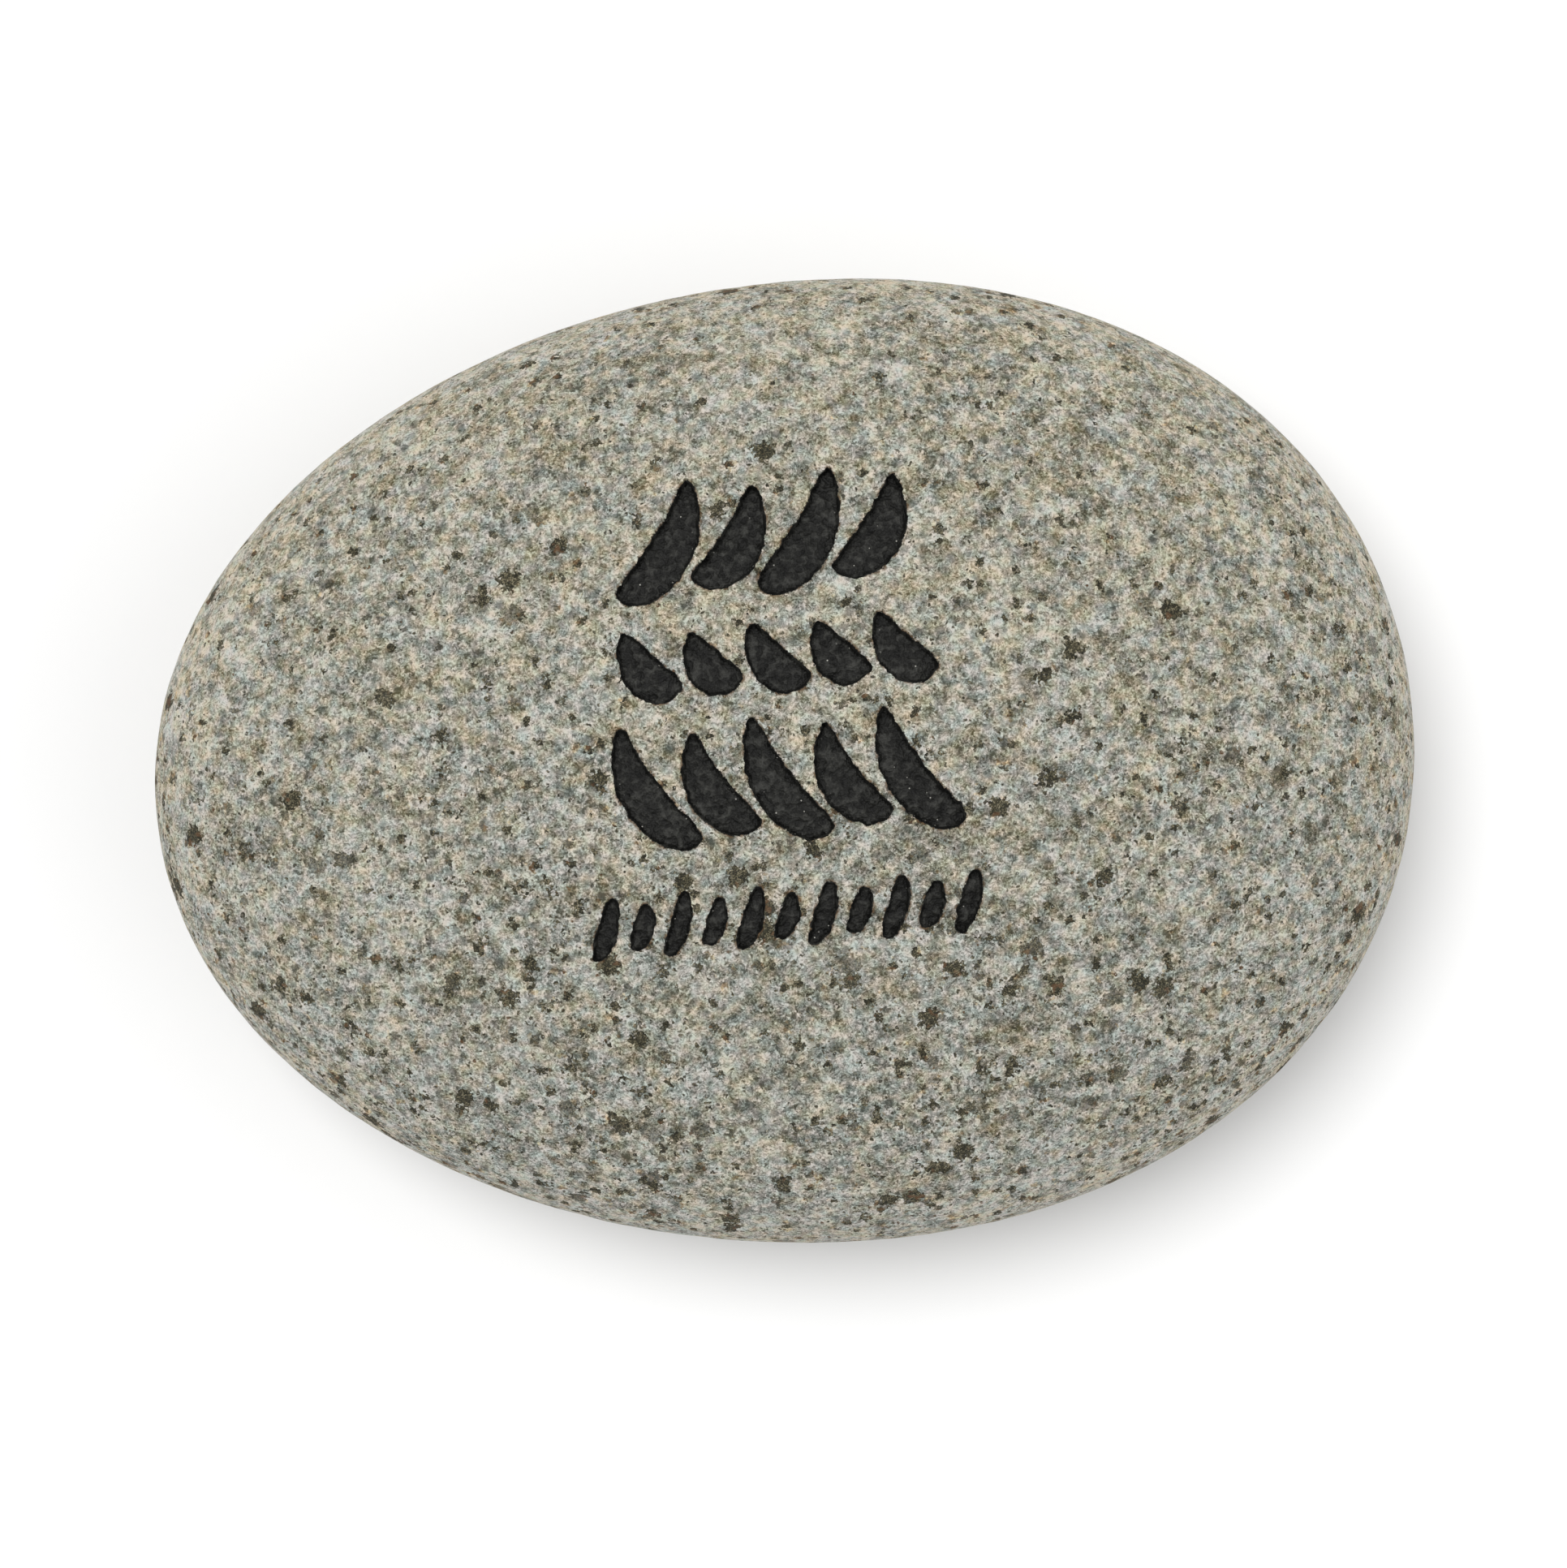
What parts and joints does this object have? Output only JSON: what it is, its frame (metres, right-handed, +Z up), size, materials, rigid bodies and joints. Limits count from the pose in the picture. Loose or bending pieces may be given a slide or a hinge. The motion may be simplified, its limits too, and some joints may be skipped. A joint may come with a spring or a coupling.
{
  "type": "engraved river pebble",
  "caption": "Smooth oval river pebble of speckled grey granite, lying flat, with rows of black-filled engraved strokes on its domed top.",
  "frame": {"origin": "on the ground under the middle of the stone, at the bottom centre of its box", "axes": "+X along the stone's length towards its broad end, +Y up the rows of strokes for a reader, +Z up out of the engraved face"},
  "size_m": [0.12, 0.0916, 0.0425],
  "materials": {
    "stone": "matt river-worn fine-grained granite, cream, grey and blue-grey grains with olive-black flecks; the cut strokes are filled with satin black paint"
  },
  "bodies": {
    "root": {"pebble": "stone"}
  },
  "joints": []
}
